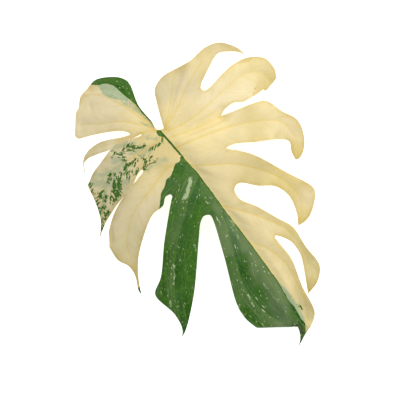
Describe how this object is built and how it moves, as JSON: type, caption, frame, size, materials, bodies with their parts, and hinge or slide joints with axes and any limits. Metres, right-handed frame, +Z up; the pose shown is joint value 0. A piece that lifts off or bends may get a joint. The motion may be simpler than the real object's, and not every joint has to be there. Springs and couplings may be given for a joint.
{
  "type": "monstera leaf",
  "caption": "Deeply lobed variegated monstera leaf blade, half green and half cream, cut at the stalk and lying flat as greenery or decoration.",
  "frame": {"origin": "on the surface under the middle of the leaf's bounding box", "axes": "+Y along the midrib towards the drip tip, +X towards the mostly green half, +Z up out of the upper face"},
  "size_m": [0.243, 0.3372, 0.0349],
  "materials": {
    "leaf": "waxy leaf skin, satin on the upper side and matt beneath"
  },
  "bodies": {
    "root": {"leaf": "leaf"}
  },
  "joints": []
}
